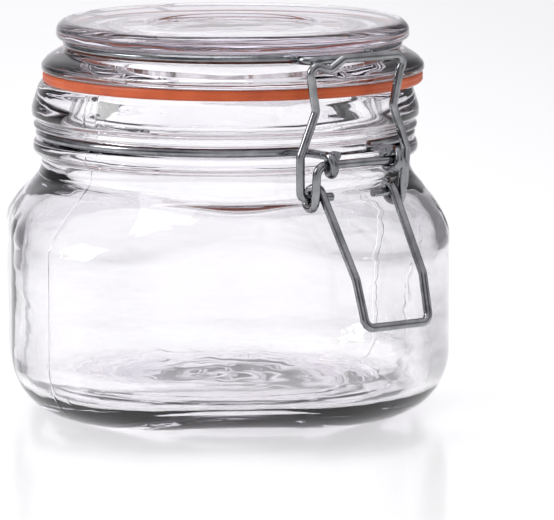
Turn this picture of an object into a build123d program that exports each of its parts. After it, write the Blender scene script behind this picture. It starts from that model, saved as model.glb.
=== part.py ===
"""Bail clamp jar: square glass jar, glass lid, rubber gasket and a four-piece wire clamp.

Millimetres, +Z up. The origin is the centre of the jar's base, on the plane it stands on,
and the jar's flat faces look along X and Y. The wirework is drawn with the clamp toward -Y
and is then turned about the jar's axis to the corner-side position it holds on the neck.
"""
import os
from math import asin, atan2, cos, degrees, hypot, radians, sin, sqrt

from build123d import *

# ---- jar body ----
body_width = 102.0
body_corner_radius = 37.0
body_wall = 3.6
heel_radius = 15.0
shoulder_top = 55.5
shoulder_radius = 14.0
shoulder_cone_sum = 99.2
floor_thickness = 5.6
inner_heel_radius = 7.0
push_up_radius = 27.7
push_up_depth = 1.6
foot_arch_span = 42.0
foot_arch_rise = 1.2
foot_arch_inner = 30.5

# ---- neck and finish, radii from the axis ----
neck_radius = 43.1
mouth_radius = 38.8
mouth_top = 76.7
bead_radius = 45.1
bead_bottom = 59.4
bead_top = 63.4
neck_groove_floor = 42.35
ridge_radius = 44.9
ridge_bottom = 65.95
ridge_top = 67.1
notch_radius = 44.3
collar_radius = 45.4
collar_bottom = 68.2
collar_full = 71.0
collar_top_radius = 43.2

# ---- lid ----
lid_shift = 3.0
lid_seat = 79.25
flange_radius = 44.75
flange_edge_top = 81.4
flange_neck_radius = 40.2
flange_neck_height = 84.4
lid_groove_floor = 37.5
lid_groove_top = 86.75
disc_radius = 41.25
disc_rim_radius = 2.0
lid_top = 91.2
dish_depth = 0.8
recess_radius = 20.0
recess_depth = 0.9
skirt_radius = 35.4
skirt_wall = 4.5
skirt_bottom = 73.5
lid_underside = 83.5

# ---- gasket ----
gasket_bottom = 76.75
gasket_outer_radius = 44.5
gasket_inner_radius = 35.6

# ---- wire and clamp ----
wire_diameter = 2.0
wire_radius = wire_diameter / 2
loop_radius = 2.15
coil_radius = 2.3
bend_radius = 2.1
clamp_turn = 31.0

neck_ring_radius = 43.45
neck_ring_height = 64.65
pivot_reach = 52.9
pivot_height = neck_ring_height - loop_radius
coil_reach = 49.6
coil_height = 54.8
rear_reach = 48.6

lid_ring_radius = 38.6
lid_ring_height = 85.6

half = body_width / 2


def rounded_square(width, corner):
    RectangleRounded(width, width, corner)


def above_cone(sum_of_radius_and_height):
    """Everything outside a 45 degree cone about the jar's axis, over the shoulder's height."""
    low = sum_of_radius_and_height - 2 * half
    with BuildPart() as outside:
        with BuildSketch(Plane.XZ):
            with BuildLine():
                Polyline(
                    (sum_of_radius_and_height - shoulder_top - 8, shoulder_top + 8),
                    (2 * half, low),
                    (2 * half, shoulder_top + 8),
                    close=True,
                )
            make_face()
        revolve(axis=Axis.Z)
    return outside.part


def tube(path, radius=wire_radius):
    """A round bar along a path of straight runs joined by tangent arcs."""
    with BuildPart() as bar:
        with BuildSketch(Plane(origin=path @ 0, z_dir=path % 0)):
            Circle(radius)
        sweep(path=path)
    return bar.part


def bent(points, radius=bend_radius):
    with BuildLine() as line:
        FilletPolyline(*points, radius=radius)
    return line.wires()[0]


def mirrored(points):
    return [(-x, y, z) for x, y, z in reversed(points)]


# ================= glass jar =================
with BuildPart() as glass_jar:
    with BuildSketch():
        rounded_square(body_width, body_corner_radius)
    extrude(amount=shoulder_top)
    fillet(glass_jar.faces().sort_by(Axis.Z)[-1].edges(), shoulder_radius)
    fillet(glass_jar.faces().sort_by(Axis.Z)[0].edges(), heel_radius)
    add(above_cone(shoulder_cone_sum), mode=Mode.SUBTRACT)
    # neck and threadless finish with the bead, the wire groove, the ridge and the collar
    with BuildSketch(Plane.XZ):
        with BuildLine():
            foot = Line((0, shoulder_top - 6), (neck_radius + 3.2, shoulder_top - 3.2))
            flare = RadiusArc(foot @ 1, (neck_radius, shoulder_top + 2.6), 6.0)
            stem = Line(flare @ 1, (neck_radius, bead_bottom))
            bead = ThreePointArc(
                stem @ 1,
                (bead_radius, (bead_bottom + bead_top) / 2),
                (neck_groove_floor + 0.8, bead_top),
            )
            groove = Polyline(
                bead @ 1,
                (neck_groove_floor, bead_top + 0.7),
                (neck_groove_floor, ridge_bottom - 0.5),
                (ridge_radius - 0.5, ridge_bottom),
                (ridge_radius, ridge_bottom + 0.4),
                (ridge_radius, ridge_top - 0.4),
                (notch_radius, ridge_top + 0.3),
                (notch_radius, collar_bottom - 0.2),
                (collar_radius - 0.3, collar_bottom + 0.5),
            )
            belly = ThreePointArc(
                groove @ 1,
                (collar_radius, (collar_bottom + collar_full) / 2 + 0.4),
                (collar_radius - 0.15, collar_full),
            )
            taper = Line(belly @ 1, (collar_top_radius + 0.5, mouth_top - 0.9))
            lip = RadiusArc(taper @ 1, (collar_top_radius - 0.6, mouth_top), -1.2)
            Polyline(lip @ 1, (0, mouth_top), (0, shoulder_top - 6))
        make_face()
    revolve(axis=Axis.Z)
    # interior: rounded-square cavity below, round mouth above
    with BuildPart(mode=Mode.PRIVATE) as cavity:
        with BuildSketch(Plane.XY.offset(floor_thickness)):
            rounded_square(body_width - 2 * body_wall, body_corner_radius - body_wall)
        extrude(amount=shoulder_top - body_wall - floor_thickness)
        fillet(cavity.faces().sort_by(Axis.Z)[-1].edges(), shoulder_radius - body_wall)
        fillet(cavity.faces().sort_by(Axis.Z)[0].edges(), inner_heel_radius)
        add(above_cone(shoulder_cone_sum - body_wall * sqrt(2)), mode=Mode.SUBTRACT)
    add(cavity.part, mode=Mode.SUBTRACT)
    with BuildSketch(Plane.XY.offset(mouth_top)):
        Circle(mouth_radius)
    extrude(amount=-(mouth_top - shoulder_top + shoulder_radius / 2), mode=Mode.SUBTRACT)
    # push-up under the base, and the four shallow arches between the corner feet
    with BuildSketch(Plane.XZ):
        with BuildLine():
            ThreePointArc(
                (-push_up_radius, 0),
                (0, push_up_depth),
                (push_up_radius, 0),
            )
            Line((push_up_radius, 0), (-push_up_radius, 0))
        make_face()
        split(bisect_by=Plane.YZ, keep=Keep.BOTTOM)
    revolve(axis=Axis.Z, mode=Mode.SUBTRACT)
    for turn in range(0, 360, 90):
        side = Plane.XZ.rotated((0, 0, turn))
        with BuildSketch(side.offset(foot_arch_inner)):
            with BuildLine():
                ThreePointArc(
                    (-foot_arch_span / 2, 0),
                    (0, foot_arch_rise),
                    (foot_arch_span / 2, 0),
                )
                Line((foot_arch_span / 2, 0), (-foot_arch_span / 2, 0))
            make_face()
        extrude(amount=half, mode=Mode.SUBTRACT)
    # soften the mouth's inner edge
    mouth_edge = (
        glass_jar.edges()
        .filter_by(GeomType.CIRCLE)
        .filter_by(lambda e: abs(e.radius - mouth_radius) < 0.01)
        .sort_by(Axis.Z)[-1]
    )
    fillet(mouth_edge, 0.8)

# ================= glass lid =================
with BuildPart() as glass_lid:
    with BuildSketch(Plane.XZ):
        with BuildLine():
            crown = Polyline(
                (0, lid_top - dish_depth - recess_depth),
                (recess_radius - 0.8, lid_top - dish_depth - recess_depth),
                (recess_radius + 0.4, lid_top - dish_depth),
                (disc_radius - 3.2, lid_top),
                (disc_radius - disc_rim_radius, lid_top),
            )
            rim = RadiusArc(crown @ 1, (disc_radius, lid_top - disc_rim_radius), disc_rim_radius)
            neck = Polyline(
                rim @ 1,
                (disc_radius, lid_groove_top + 0.5),
                (disc_radius - 0.4, lid_groove_top),
                (lid_groove_floor, lid_groove_top),
                (lid_groove_floor, flange_neck_height + 0.05),
                (flange_neck_radius - 0.4, flange_neck_height),
                (flange_neck_radius + 0.6, flange_neck_height - 0.25),
                (flange_radius - 1.3, flange_edge_top + 1.1),
            )
            edge = RadiusArc(neck @ 1, (flange_radius, flange_edge_top - 0.6), 1.9)
            Polyline(
                edge @ 1,
                (flange_radius, lid_seat + 0.5),
                (flange_radius - 0.5, lid_seat),
                (skirt_radius, lid_seat),
                (skirt_radius, skirt_bottom + 0.8),
                (skirt_radius - 0.8, skirt_bottom),
                (skirt_radius - skirt_wall + 0.8, skirt_bottom),
                (skirt_radius - skirt_wall, skirt_bottom + 0.8),
                (skirt_radius - skirt_wall - 1.5, lid_underside - 1.5),
                (skirt_radius - skirt_wall - 4, lid_underside),
                (0, lid_underside),
                (0, lid_top - dish_depth - recess_depth),
            )
        make_face()
    revolve(axis=Axis.Z)

# ================= rubber gasket =================
with BuildPart() as rubber_gasket:
    with BuildSketch(Plane.XY.offset(gasket_bottom)):
        Circle(gasket_outer_radius)
        Circle(gasket_inner_radius, mode=Mode.SUBTRACT)
    extrude(amount=lid_seat - gasket_bottom)
    fillet(rubber_gasket.edges(), 0.4)

# ================= neck wire =================
# front eyes turn down round the pivot bar, rear coils carry the lid's hinge pins
eye_out = 9.5
eye_in = 7.4
rear_out = 8.4
rear_in = 6.25


def ring_join(ring_radius, side_x, run):
    """Angle off the clamp line at which a tangent run of the given length meets x = side_x."""
    return degrees(asin(side_x / hypot(ring_radius, run)) + atan2(run, ring_radius))


front_join = ring_join(neck_ring_radius, eye_out, 4.0)
rear_join = ring_join(neck_ring_radius, rear_out, 4.0)


def on_ring(ring_radius, angle, height, shift=0.0, run=0.0, rear=False):
    """Point on a ring, or a tangent run beyond it, on the +X side; angle off the Y axis."""
    x = ring_radius * sin(radians(angle)) - run * cos(radians(angle))
    y = ring_radius * cos(radians(angle)) + run * sin(radians(angle))
    return (x, (y if rear else -y) - shift, height)


neck_z = neck_ring_height
pivot_top = pivot_height + loop_radius
pivot_bottom = pivot_height - loop_radius
front_eye = [
    on_ring(neck_ring_radius, front_join, neck_z),
    on_ring(neck_ring_radius, front_join, neck_z, run=4.0),
    (eye_out, -pivot_reach - loop_radius, pivot_top),
    (eye_out - 0.6, -pivot_reach - loop_radius, pivot_bottom),
    (eye_out - 1.3, -pivot_reach + loop_radius, pivot_bottom),
    (eye_in, -pivot_reach + loop_radius, pivot_top),
    (eye_in, -pivot_reach - 1.0, pivot_top),
]
rear_coil = [
    on_ring(neck_ring_radius, rear_join, neck_z, rear=True),
    on_ring(neck_ring_radius, rear_join, neck_z, run=4.0, rear=True),
    (rear_out, rear_reach + loop_radius, pivot_top),
    (rear_out - 0.6, rear_reach + loop_radius, pivot_bottom),
    (rear_out - 1.3, rear_reach - loop_radius, pivot_bottom),
    (rear_in, rear_reach - loop_radius, pivot_top),
    (rear_in, rear_reach + loop_radius, pivot_top),
    (rear_in - 0.15, rear_reach + loop_radius, pivot_bottom),
]
with BuildPart() as neck_wire:
    add(tube(bent(front_eye)))
    add(tube(bent(mirrored(front_eye))))
    add(tube(bent(rear_coil + mirrored(rear_coil), 2.0)))
    for side in (1, -1):
        start = on_ring(neck_ring_radius, front_join, neck_z)
        finish = on_ring(neck_ring_radius, rear_join, neck_z, rear=True)
        with BuildLine(mode=Mode.PRIVATE) as half_ring:
            ThreePointArc(
                (side * start[0], start[1], start[2]),
                (side * neck_ring_radius, 0, neck_z),
                (side * finish[0], finish[1], finish[2]),
            )
        add(tube(half_ring.wires()[0]))

# ================= lid wire =================
nose_half = 10.5
nose_reach = 47.2
hinge_half = 10.8
pin_end = 4.0
nose_join = ring_join(lid_ring_radius, nose_half, 4.5)
hinge_join = ring_join(lid_ring_radius, hinge_half, 6.4)
lid_z = lid_ring_height
nose_side = [
    on_ring(lid_ring_radius, nose_join, lid_z, lid_shift),
    on_ring(lid_ring_radius, nose_join, lid_z, lid_shift, run=4.5),
    (nose_half, -nose_reach, lid_z),
]
hinge_leg = [
    on_ring(lid_ring_radius, hinge_join, lid_z, lid_shift, rear=True),
    on_ring(lid_ring_radius, hinge_join, lid_z, lid_shift, run=6.4, rear=True),
    (hinge_half, rear_reach - 1.5, lid_z),
    (hinge_half, rear_reach, pivot_height),
    (pin_end, rear_reach, pivot_height),
]
with BuildPart() as lid_wire:
    add(tube(bent(nose_side + mirrored(nose_side), 3.0)))
    add(tube(bent(hinge_leg)))
    add(tube(bent(mirrored(hinge_leg))))
    for side in (1, -1):
        start = on_ring(lid_ring_radius, nose_join, lid_z, lid_shift)
        finish = on_ring(lid_ring_radius, hinge_join, lid_z, lid_shift, rear=True)
        with BuildLine(mode=Mode.PRIVATE) as half_ring:
            ThreePointArc(
                (side * start[0], start[1], start[2]),
                (side * lid_ring_radius, -lid_shift, lid_z),
                (side * finish[0], finish[1], finish[2]),
            )
        add(tube(half_ring.wires()[0]))

# ================= lever =================
arm_half = 12.3
leg_half = 10.05
knee_half = 9.4
grip_half = 8.85
knee_reach = 63.7
knee_height = 37.6
grip_reach = 66.8
grip_height = 27.0
lever_side = [
    (arm_half, -pivot_reach, pivot_height),
    (arm_half, -coil_reach - coil_radius, coil_height - coil_radius),
    (arm_half - 0.7, -coil_reach + coil_radius, coil_height - coil_radius),
    (arm_half - 1.5, -coil_reach + coil_radius, coil_height + coil_radius),
    (leg_half, -coil_reach - 1.15, coil_height + coil_radius),
    (knee_half, -knee_reach, knee_height),
    (grip_half, -grip_reach, grip_height),
]
lever_path = [(0, -pivot_reach, pivot_height)] + lever_side + [(0, -grip_reach, grip_height)]
with BuildPart() as lever:
    add(tube(bent(lever_path)))
    mirror(about=Plane.YZ)

# ================= clamp bail =================
bail_leg = [
    (5.8, -coil_reach, coil_height),
    (14.6, -coil_reach, coil_height),
    (15.0, -coil_reach - 0.5, 64.5),
    (10.9, -coil_reach - 0.8, 74.5),
]
crossbar_reach = 51.0
crossbar_height = 86.1
dip_height = 83.8
crossbar = [
    (12.5, -crossbar_reach + 0.1, crossbar_height - 3.3),
    (14.3, -crossbar_reach, crossbar_height),
    (-3.6, -crossbar_reach, crossbar_height),
    (-7.6, -crossbar_reach, dip_height),
    (-13.3, -crossbar_reach, crossbar_height - 0.5),
]
with BuildPart() as clamp_bail:
    add(tube(bent(bail_leg + crossbar + mirrored(bail_leg), 1.8)))

# ================= placing and export =================
shift_to_clamp = Pos(0, -lid_shift, 0)
turn_to_corner = Rot(0, 0, clamp_turn)

placed = {"glass_jar": glass_jar.part}
placed["glass_lid"] = turn_to_corner * shift_to_clamp * glass_lid.part
placed["rubber_gasket"] = turn_to_corner * shift_to_clamp * rubber_gasket.part
placed["neck_wire"] = turn_to_corner * neck_wire.part
placed["lid_wire"] = turn_to_corner * lid_wire.part
placed["lever"] = turn_to_corner * lever.part
placed["clamp_bail"] = turn_to_corner * clamp_bail.part

os.makedirs("parts", exist_ok=True)
for name, solid in placed.items():
    solid.label = name
    export_step(solid, f"parts/{name}.step")
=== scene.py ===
import math

import bmesh
import bpy
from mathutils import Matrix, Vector


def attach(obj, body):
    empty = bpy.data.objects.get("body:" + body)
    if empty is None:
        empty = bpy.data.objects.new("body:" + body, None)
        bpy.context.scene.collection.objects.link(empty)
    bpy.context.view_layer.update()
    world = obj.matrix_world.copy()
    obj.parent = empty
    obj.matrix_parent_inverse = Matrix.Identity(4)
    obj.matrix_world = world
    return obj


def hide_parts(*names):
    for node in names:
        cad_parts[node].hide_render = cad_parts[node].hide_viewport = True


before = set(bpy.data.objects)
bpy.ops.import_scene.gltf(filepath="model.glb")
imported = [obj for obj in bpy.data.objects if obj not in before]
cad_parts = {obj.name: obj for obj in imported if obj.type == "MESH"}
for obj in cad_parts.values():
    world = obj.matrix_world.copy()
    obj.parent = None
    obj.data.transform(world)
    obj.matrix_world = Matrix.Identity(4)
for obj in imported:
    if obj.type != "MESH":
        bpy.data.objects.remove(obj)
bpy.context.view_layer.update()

MM = 0.001
TURN = math.radians(31.0)
LID_SHIFT = 3.0
LID_CENTRE = (LID_SHIFT * math.sin(TURN), -LID_SHIFT * math.cos(TURN))


# ---------------------------------------------------------------- materials
def material(name):
    mat = bpy.data.materials.new(name)
    mat.use_nodes = True
    nodes = mat.node_tree.nodes
    return mat, nodes, mat.node_tree.links, nodes["Principled BSDF"]


def noise(nodes, links, scale, detail=4.0, roughness=0.5, stretch=None):
    coords = nodes.new("ShaderNodeTexCoord")
    tex = nodes.new("ShaderNodeTexNoise")
    tex.inputs["Scale"].default_value = scale
    tex.inputs["Detail"].default_value = detail
    tex.inputs["Roughness"].default_value = roughness
    if stretch:
        mapping = nodes.new("ShaderNodeMapping")
        mapping.inputs["Scale"].default_value = stretch
        links.new(coords.outputs["Object"], mapping.inputs["Vector"])
        links.new(mapping.outputs["Vector"], tex.inputs["Vector"])
    else:
        links.new(coords.outputs["Object"], tex.inputs["Vector"])
    return tex


def ramp(nodes, links, source, stops):
    node = nodes.new("ShaderNodeValToRGB")
    while len(node.color_ramp.elements) < len(stops):
        node.color_ramp.elements.new(0.5)
    for element, (place, colour) in zip(node.color_ramp.elements, stops):
        element.position = place
        element.color = (*colour, 1.0)
    links.new(source, node.inputs["Fac"])
    return node.outputs["Color"]


def bump(nodes, links, height, strength, distance, shader, before=None):
    node = nodes.new("ShaderNodeBump")
    node.inputs["Strength"].default_value = strength
    node.inputs["Distance"].default_value = distance
    links.new(height, node.inputs["Height"])
    if before:
        links.new(before, node.inputs["Normal"])
    links.new(node.outputs["Normal"], shader.inputs["Normal"])
    return node.outputs["Normal"]


def clear_glass(name, tint_low, tint_high, density):
    """Pressed soda glass: faint tint that drifts, slow ripples, a few fine pits."""
    mat, nodes, links, shader = material(name)
    shader.inputs["Transmission Weight"].default_value = 1.0
    shader.inputs["IOR"].default_value = 1.5
    drift = noise(nodes, links, 22.0, 3.0)
    links.new(
        ramp(nodes, links, drift.outputs["Fac"], [(0.3, tint_low), (0.7, tint_high)]),
        shader.inputs["Base Color"],
    )
    smear = noise(nodes, links, 160.0, 5.0, 0.6)
    links.new(
        ramp(nodes, links, smear.outputs["Fac"], [(0.45, (0.0, 0.0, 0.0)), (0.8, (0.05, 0.05, 0.05))]),
        shader.inputs["Roughness"],
    )
    ripple = noise(nodes, links, 60.0, 2.0, 0.4, (1.0, 1.0, 2.5))
    first = bump(nodes, links, ripple.outputs["Fac"], 0.35, 0.0006, shader)
    pits = nodes.new("ShaderNodeTexVoronoi")
    pits.inputs["Scale"].default_value = 420.0
    coords = nodes.new("ShaderNodeTexCoord")
    links.new(coords.outputs["Object"], pits.inputs["Vector"])
    small = ramp(nodes, links, pits.outputs["Distance"], [(0.0, (0.0, 0.0, 0.0)), (0.09, (1.0, 1.0, 1.0))])
    bump(nodes, links, small, 0.15, 0.0001, shader, first)
    depth = nodes.new("ShaderNodeVolumeAbsorption")
    depth.inputs["Color"].default_value = (0.55, 0.42, 0.62, 1.0)
    depth.inputs["Density"].default_value = density
    links.new(depth.outputs["Volume"], nodes["Material Output"].inputs["Volume"])
    return mat


def orange_rubber():
    mat, nodes, links, shader = material("orange_rubber")
    mottle = noise(nodes, links, 130.0, 6.0, 0.6)
    links.new(
        ramp(
            nodes,
            links,
            mottle.outputs["Fac"],
            [(0.3, (0.40, 0.058, 0.010)), (0.55, (0.50, 0.080, 0.014)), (0.8, (0.58, 0.115, 0.024))],
        ),
        shader.inputs["Base Color"],
    )
    fine = noise(nodes, links, 1400.0, 4.0, 0.7)
    links.new(
        ramp(nodes, links, fine.outputs["Fac"], [(0.3, (0.38, 0.38, 0.38)), (0.7, (0.55, 0.55, 0.55))]),
        shader.inputs["Roughness"],
    )
    shader.inputs["Subsurface Weight"].default_value = 0.08
    shader.inputs["Subsurface Radius"].default_value = (0.002, 0.0006, 0.0002)
    bump(nodes, links, fine.outputs["Fac"], 0.25, 0.0002, shader)
    return mat


def drawn_steel(name, dark, light):
    """Bright drawn wire: die lines and dull patches."""
    mat, nodes, links, shader = material(name)
    shader.inputs["Metallic"].default_value = 1.0
    patches = noise(nodes, links, 240.0, 5.0, 0.6)
    links.new(
        ramp(nodes, links, patches.outputs["Fac"], [(0.25, dark), (0.75, light)]),
        shader.inputs["Base Color"],
    )
    links.new(
        ramp(nodes, links, patches.outputs["Fac"], [(0.3, (0.07, 0.07, 0.07)), (0.75, (0.2, 0.2, 0.2))]),
        shader.inputs["Roughness"],
    )
    lines = noise(nodes, links, 2600.0, 3.0, 0.6)
    bump(nodes, links, lines.outputs["Fac"], 0.12, 0.00008, shader)
    return mat


jar_glass = clear_glass("jar_glass", (0.965, 0.97, 0.972), (0.99, 0.988, 0.988), 11.0)
lid_glass = clear_glass("lid_glass", (0.96, 0.964, 0.968), (0.985, 0.982, 0.984), 7.0)
rubber = orange_rubber()
steel = drawn_steel("wire_steel", (0.13, 0.135, 0.14), (0.36, 0.365, 0.375))
band_steel = drawn_steel("band_steel", (0.13, 0.135, 0.145), (0.34, 0.35, 0.365))


# ---------------------------------------------------------------- meshes
def add_mesh(name, verts, faces, mat):
    """A closed smooth mesh whose faces look outward."""
    mesh = bpy.data.meshes.new(name)
    mesh.from_pydata(verts, [], faces)
    shell = bmesh.new()
    shell.from_mesh(mesh)
    if shell.calc_volume(signed=True) < 0:
        bmesh.ops.reverse_faces(shell, faces=shell.faces)
    shell.to_mesh(mesh)
    shell.free()
    mesh.shade_smooth()
    obj = bpy.data.objects.new(name, mesh)
    bpy.context.scene.collection.objects.link(obj)
    mesh.materials.append(mat)
    return obj


def closed_sweep(name, rings, mat):
    """A solid from rings of equal length that start and end at a point on the axis."""
    count = len(rings[0])
    verts = []
    for ring in rings:
        verts.extend(ring)
    first = len(verts)
    x = sum(v[0] for v in rings[0]) / count
    y = sum(v[1] for v in rings[0]) / count
    verts.append((x, y, rings[0][0][2]))
    x = sum(v[0] for v in rings[-1]) / count
    y = sum(v[1] for v in rings[-1]) / count
    verts.append((x, y, rings[-1][0][2]))
    faces = []
    for level in range(len(rings) - 1):
        low, high = level * count, (level + 1) * count
        for i in range(count):
            j = (i + 1) % count
            faces.append((low + i, low + j, high + j, high + i))
    top = (len(rings) - 1) * count
    for i in range(count):
        j = (i + 1) % count
        faces.append((first, j, i))
        faces.append((first + 1, top + i, top + j))
    return add_mesh(name, verts, faces, mat)


def rounded_profile(points, steps=5):
    """Corner points (r, z, corner radius) to a list of (r, z) with each corner rounded."""
    out = []
    for i, (r, z, bend) in enumerate(points):
        here = Vector((r, z))
        if bend <= 0 or i in (0, len(points) - 1):
            out.append((r, z))
            continue
        before = Vector(points[i - 1][:2]) - here
        after = Vector(points[i + 1][:2]) - here
        reach = min(bend, before.length * 0.48, after.length * 0.48)
        a = here + before.normalized() * reach
        b = here + after.normalized() * reach
        for step in range(steps + 1):
            t = step / steps
            p = a * (1 - t) ** 2 + here * 2 * t * (1 - t) + b * t**2
            out.append((p.x, p.y))
    return out


def split_long(profile, longest):
    out = [profile[0]]
    for a, b in zip(profile, profile[1:]):
        parts = max(1, math.ceil(math.dist(a, b) / longest))
        for k in range(1, parts + 1):
            out.append((a[0] + (b[0] - a[0]) * k / parts, a[1] + (b[1] - a[1]) * k / parts))
    return out


def lathe_rings(profile, centre, count):
    rings = []
    for r, z in profile:
        ring = []
        for i in range(count):
            angle = 2 * math.pi * i / count
            ring.append(
                (centre[0] + r * MM * math.cos(angle), centre[1] + r * MM * math.sin(angle), z * MM)
            )
        rings.append(ring)
    return rings


# ---------------------------------------------------------------- glass jar
HALF = 51.0
CORNER = 37.0
WALL = 3.6
HEEL = 15.0
SHOULDER = 14.0
SHOULDER_TOP = 55.5
CONE = 99.2
NECK = 43.1
MOUTH = 38.8
MOUTH_TOP = 76.7
FLOOR = 5.6
INNER_HEEL = 7.0
PUSH_UP = 27.7
PUSH_UP_DEPTH = 1.6
NECK_FOOT = 2.6
FLARE_DROP = 5.8
FLARE_OUT = 3.2
FLOOR_CROWN = 0.5
SEAM_WIDTH = math.radians(0.3)
SEAM_HEIGHT = 0.1
ARCH_INNER = 30.5
ARCH_SPAN = 42.0
ARCH_RISE = 1.2
FLAG_TURN = math.radians(-4.5)
SEAMS = (math.radians(-140.0), math.radians(40.0))


def square_radius(angle, half, corner):
    """Distance from the axis to a rounded square's edge in a direction."""
    turn = (angle + math.pi / 4) % (math.pi / 2) - math.pi / 4
    flat = half - corner
    if abs(math.tan(turn)) * half <= flat:
        return half / math.cos(turn)
    u = (math.cos(turn), abs(math.sin(turn)))
    along = flat * (u[0] + u[1])
    return along + math.sqrt(max(0.0, corner**2 - (2 * flat**2 - along**2)))


def soft_max(a, b, k):
    h = max(k - abs(a - b), 0.0) / k
    return max(a, b) + h * h * k / 4


def soft_min(a, b, k):
    return -soft_max(-a, -b, k)


def arch(angle, r):
    """Rise of the foot arch between the corner feet, at a point of the underside."""
    turn = (angle + math.pi / 4) % (math.pi / 2) - math.pi / 4
    side = abs(r * math.sin(turn))
    out = r * math.cos(turn)
    if side >= ARCH_SPAN / 2 or out <= ARCH_INNER:
        return 0.0
    fade = min(1.0, (out - ARCH_INNER) / 1.5)
    return ARCH_RISE * (1 - (side / (ARCH_SPAN / 2)) ** 2) * fade


def outer_column(angle):
    """(r, z) pairs up the outside of the jar in one direction, in millimetres."""
    pts = []
    for k in range(1, 13):
        r = PUSH_UP * k / 12
        pts.append((r, PUSH_UP_DEPTH * (1 - (r / PUSH_UP) ** 2)))
    edge = square_radius(angle, HALF - HEEL, CORNER - HEEL)
    for k in range(1, 7):
        r = PUSH_UP + (edge - PUSH_UP) * k / 6
        pts.append((r, arch(angle, r)))
    for k in range(1, 17):
        a = math.pi / 2 * k / 16
        inset = HEEL * (1 - math.sin(a))
        r = square_radius(angle, HALF - inset, CORNER - inset)
        z = HEEL * (1 - math.cos(a))
        pts.append((r, max(z, arch(angle, r) * (1 - z / HEEL))))
    wall_top = SHOULDER_TOP - SHOULDER
    side = square_radius(angle, HALF, CORNER)
    for k in range(1, 13):
        z = HEEL + (wall_top - 3 - HEEL) * k / 12
        pts.append((side, z))
    for k in range(1, 27):
        z = wall_top - 3 + (SHOULDER_TOP + NECK_FOOT - wall_top + 3) * k / 26
        lift = min(max(z - wall_top, 0.0), SHOULDER)
        inset = SHOULDER - math.sqrt(max(0.0, SHOULDER**2 - lift**2))
        r = square_radius(angle, HALF - inset, CORNER - inset)
        r = soft_min(r, CONE - z + 0.3, 3.0)
        drop = SHOULDER_TOP + NECK_FOOT - z
        flare = NECK + FLARE_OUT * min(max(drop, 0.0) / FLARE_DROP, 1.0) ** 2
        pts.append((soft_max(r, flare, 0.8), z))
    return pts


FINISH = rounded_profile(
    [
        (NECK, 58.3, 0),
        (NECK, 59.5, 0.6),
        (45.0, 60.3, 1.0),
        (45.1, 62.0, 1.0),
        (44.6, 63.2, 0.8),
        (42.6, 63.7, 0.5),
        (42.4, 65.4, 0.5),
        (44.3, 65.8, 0.4),
        (44.9, 66.1, 0.4),
        (44.9, 66.9, 0.4),
        (44.35, 67.3, 0.4),
        (44.35, 68.0, 0.3),
        (45.3, 68.6, 0.7),
        (45.4, 70.6, 1.2),
        (43.8, 75.6, 1.0),
        (43.0, 76.7, 0.9),
        (39.6, 76.7, 0.7),
        (38.8, 75.9, 0.7),
        (38.8, 58.0, 0),
    ],
    6,
)


def inner_column(angle):
    """(r, z) pairs down the inside of the jar, with the slow unevenness of pressed glass."""
    pts = []
    wall_top = SHOULDER_TOP - SHOULDER
    fillet = SHOULDER - WALL
    ripple = 0.22 * math.sin(4 * angle + 0.6) + 0.14 * math.sin(7 * angle + 1.9)
    for k in range(0, 21):
        z = 56.0 + (wall_top - 2 - 56.0) * k / 20
        lift = min(max(z - wall_top, 0.0), fillet)
        inset = fillet - math.sqrt(max(0.0, fillet**2 - lift**2))
        r = square_radius(angle, HALF - WALL - inset, CORNER - WALL - inset)
        r = soft_min(r, CONE - WALL * math.sqrt(2) - z, 3.0)
        pts.append((soft_max(r, MOUTH, 1.6) if z < 53.0 else MOUTH, z))
    side = square_radius(angle, HALF - WALL, CORNER - WALL) + ripple
    top = wall_top - 2
    for k in range(1, 13):
        z = top + (FLOOR + INNER_HEEL - top) * k / 12
        pts.append((side + 0.15 * math.sin(z * 0.21 + angle * 2), z))
    for k in range(1, 13):
        a = math.pi / 2 * (1 - k / 12)
        inset = INNER_HEEL * (1 - math.sin(a))
        r = square_radius(angle, HALF - WALL - inset, CORNER - WALL - inset) + ripple * (1 - k / 12)
        pts.append((r, FLOOR + INNER_HEEL * (1 - math.cos(a))))
    edge = pts[-1][0]
    for k in range(1, 61):
        r = edge * (1 - k / 61)
        crown = FLOOR_CROWN * (1 - (r / edge) ** 2)
        rings = 0.5 * math.exp(-(((r - 39.0) / 0.9) ** 2)) + 0.4 * math.exp(-(((r - PUSH_UP) / 0.8) ** 2))
        pts.append((r, FLOOR + crown + rings + 0.05 * math.sin(1.1 * r + 3 * math.sin(2 * angle))))
    return pts


def jar_angles():
    angles = [2 * math.pi * i / 288 - math.pi for i in range(288)]
    for seam in SEAMS:
        angles += [seam + math.radians(0.25 * k) for k in (-2, -1, 0, 1, 2)]
    return sorted(set(angles))


def seam_ridge(angle, z):
    """The mould's parting line: a fine ridge up two opposite corners."""
    near = min(abs(angle - seam) for seam in SEAMS)
    if near > SEAM_WIDTH or z < 2 or z > 76:
        return 0.0
    return SEAM_HEIGHT * (1 - near / SEAM_WIDTH)


angles = jar_angles()
columns = []
for angle in angles:
    outside = outer_column(angle) + FINISH[1:-1]
    outside = [(r + seam_ridge(angle, z), z) for r, z in outside]
    columns.append(outside + inner_column(angle))
rings = []
for level in range(len(columns[0])):
    ring = []
    for angle, column in zip(angles, columns):
        r, z = column[level]
        ring.append((r * MM * math.cos(angle), r * MM * math.sin(angle), z * MM))
    rings.append(ring)
jar = closed_sweep("jar_body", rings, jar_glass)
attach(jar, "jar")
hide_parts("glass_jar")
# clear glass throws no dark shadow under itself
jar.visible_shadow = False

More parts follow.
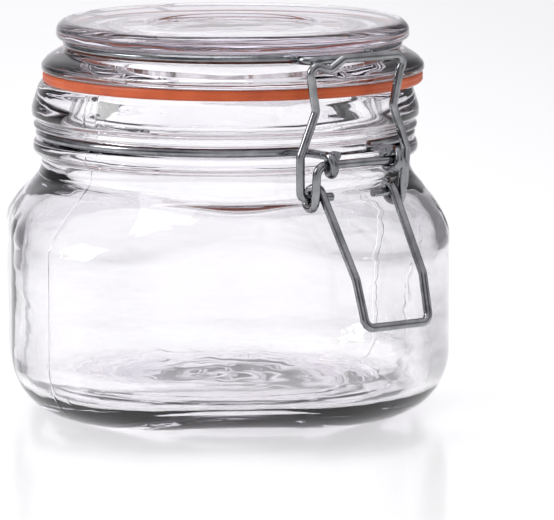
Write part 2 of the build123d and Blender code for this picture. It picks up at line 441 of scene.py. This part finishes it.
# ---------------------------------------------------------------- glass lid
lid_profile = rounded_profile(
    [
        (0.4, 89.5, 0),
        (19.0, 89.5, 0.8),
        (20.3, 90.35, 0.8),
        (37.9, 91.15, 1.5),
        (39.6, 91.15, 1.2),
        (41.2, 89.6, 1.4),
        (41.2, 87.4, 0.5),
        (40.7, 86.8, 0.4),
        (38.2, 86.75, 0.5),
        (37.55, 86.3, 0.5),
        (37.55, 84.7, 0.3),
        (38.0, 84.45, 0.3),
        (40.3, 84.35, 0.8),
        (43.3, 82.6, 1.4),
        (44.7, 81.0, 1.2),
        (44.7, 79.7, 0.5),
        (44.2, 79.27, 0.4),
        (35.4, 79.27, 0.0),
        (35.4, 74.2, 0.7),
        (34.6, 73.52, 0.6),
        (31.7, 73.52, 0.6),
        (30.9, 74.3, 0.7),
        (29.4, 82.0, 1.5),
        (26.9, 83.5, 1.5),
        (0.4, 83.5, 0),
    ],
    6,
)
lid = closed_sweep(
    "lid_body",
    lathe_rings(split_long(lid_profile, 2.0), (LID_CENTRE[0] * MM, LID_CENTRE[1] * MM), 224),
    lid_glass,
)
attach(lid, "lid")
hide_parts("glass_lid")


# ---------------------------------------------------------------- gasket
def ring_solid(name, profile, centre, mat, count=256):
    verts = []
    faces = []
    levels = len(profile)
    for i in range(count):
        angle = 2 * math.pi * i / count
        sag = 0.03 * math.sin(5 * angle) + 0.02 * math.sin(11 * angle + 1)
        for r, z in profile:
            rr = (r + sag) * MM
            verts.append((centre[0] + rr * math.cos(angle), centre[1] + rr * math.sin(angle), z * MM))
    for i in range(count):
        j = (i + 1) % count
        for k in range(levels):
            m = (k + 1) % levels
            faces.append((i * levels + k, j * levels + k, j * levels + m, i * levels + m))
    return add_mesh(name, verts, faces, mat)


gasket_loop = rounded_profile(
    [
        (40.0, 76.77, 0),
        (44.15, 76.77, 0.4),
        (44.42, 77.5, 0.4),
        (44.3, 78.0, 0.2),
        (44.42, 78.5, 0.4),
        (44.15, 79.24, 0.4),
        (35.7, 79.24, 0.3),
        (35.7, 76.77, 0.3),
        (40.0, 76.77, 0),
    ],
    4,
)[:-1]
gasket = ring_solid("gasket_ring", gasket_loop, (LID_CENTRE[0] * MM, LID_CENTRE[1] * MM), rubber)
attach(gasket, "lid")
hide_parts("rubber_gasket")

# ---------------------------------------------------------------- wirework
WIRES = {"neck_wire": band_steel, "lid_wire": band_steel, "lever": steel, "clamp_bail": steel}
for node, mat in WIRES.items():
    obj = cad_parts[node]
    obj.data.materials.clear()
    obj.data.materials.append(mat)
    for poly in obj.data.polygons:
        poly.use_smooth = True


# ---------------------------------------------------------------- stage
def flat(name, size, mat, place, turn=(0, 0, 0)):
    w, h = size[0] / 2, size[1] / 2
    mesh = bpy.data.meshes.new(name)
    mesh.from_pydata([(-w, -h, 0), (w, -h, 0), (w, h, 0), (-w, h, 0)], [], [(0, 1, 2, 3)])
    obj = bpy.data.objects.new(name, mesh)
    bpy.context.scene.collection.objects.link(obj)
    mesh.materials.append(mat)
    obj.location = place
    obj.rotation_euler = turn
    return obj


floor_mat, nodes, links, shader = material("studio_floor")
shader.inputs["Base Color"].default_value = (0.93, 0.93, 0.935, 1)
shader.inputs["Roughness"].default_value = 0.16
shader.inputs["Specular IOR Level"].default_value = 0.35
flat("floor", (14, 14), floor_mat, (0, 0, -0.0001))

world = bpy.data.worlds.new("studio")
bpy.context.scene.world = world
world.use_nodes = True
tree = world.node_tree
sky = tree.nodes["Background"]
sky.inputs["Color"].default_value = (1.0, 1.0, 1.0, 1)
sky.inputs["Strength"].default_value = 0.98
# what glass and steel mirror: a white tent with four soft dark flags between its panels
coords = tree.nodes.new("ShaderNodeTexCoord")
turned = tree.nodes.new("ShaderNodeMapping")
turned.inputs["Rotation"].default_value = (0, 0, FLAG_TURN)
parts = tree.nodes.new("ShaderNodeSeparateXYZ")
product = tree.nodes.new("ShaderNodeMath")
product.operation = "MULTIPLY"
size = tree.nodes.new("ShaderNodeMath")
size.operation = "ABSOLUTE"
tree.links.new(coords.outputs["Generated"], turned.inputs["Vector"])
tree.links.new(turned.outputs["Vector"], parts.inputs["Vector"])
tree.links.new(parts.outputs["X"], product.inputs[0])
tree.links.new(parts.outputs["Y"], product.inputs[1])
tree.links.new(product.outputs[0], size.inputs[0])
tent = tree.nodes.new("ShaderNodeBackground")
tent.inputs["Strength"].default_value = 1.0
shades = ramp(
    tree.nodes,
    tree.links,
    size.outputs[0],
    [(0.16, (0.90, 0.885, 0.925)), (0.30, (0.62, 0.61, 0.63)), (0.42, (0.22, 0.215, 0.23))],
)
tree.links.new(shades, tent.inputs["Color"])
path = tree.nodes.new("ShaderNodeLightPath")
either = tree.nodes.new("ShaderNodeMath")
either.operation = "MAXIMUM"
tree.links.new(path.outputs["Is Camera Ray"], either.inputs[0])
tree.links.new(path.outputs["Is Diffuse Ray"], either.inputs[1])
mix = tree.nodes.new("ShaderNodeMixShader")
tree.links.new(either.outputs[0], mix.inputs[0])
tree.links.new(tent.outputs[0], mix.inputs[1])
tree.links.new(sky.outputs[0], mix.inputs[2])
tree.links.new(mix.outputs[0], tree.nodes["World Output"].inputs["Surface"])
bpy.context.scene.view_settings.view_transform = "Standard"


def area(name, size, energy, place, target=(0, 0, 0.05)):
    light = bpy.data.lights.new(name, "AREA")
    light.shape = "RECTANGLE"
    light.size, light.size_y = size
    light.energy = energy
    obj = bpy.data.objects.new(name, light)
    obj.location = place
    obj.rotation_euler = (Vector(target) - Vector(place)).to_track_quat("-Z", "Y").to_euler()
    bpy.context.scene.collection.objects.link(obj)
    return obj


area("softbox_key", (0.35, 0.5), 5.0, (-0.95, -0.1, 0.62))
area("softbox_top", (0.7, 0.5), 2.5, (-0.2, 0.1, 1.1))

# ---------------------------------------------------------------- camera
DISTANCE = 1.237
HEIGHT = 0.2161
AZIMUTH = math.radians(-4.5)
PITCH = math.radians(8.381)
YAW = math.radians(0.560)
FOCAL_PIXELS = 5317.0
camera_data = bpy.data.cameras.new("camera")
camera_data.sensor_fit = "HORIZONTAL"
camera_data.sensor_width = 36.0
camera_data.lens = FOCAL_PIXELS / 554 * 36.0
camera_data.clip_end = 50.0
camera = bpy.data.objects.new("camera", camera_data)
bpy.context.scene.collection.objects.link(camera)
place = Vector((DISTANCE * math.sin(AZIMUTH), -DISTANCE * math.cos(AZIMUTH), HEIGHT))
heading = -AZIMUTH + YAW
aim = Vector(
    (math.sin(heading) * math.cos(PITCH), math.cos(heading) * math.cos(PITCH), -math.sin(PITCH))
)
camera.location = place
camera.rotation_euler = aim.to_track_quat("-Z", "Y").to_euler()
bpy.context.scene.camera = camera
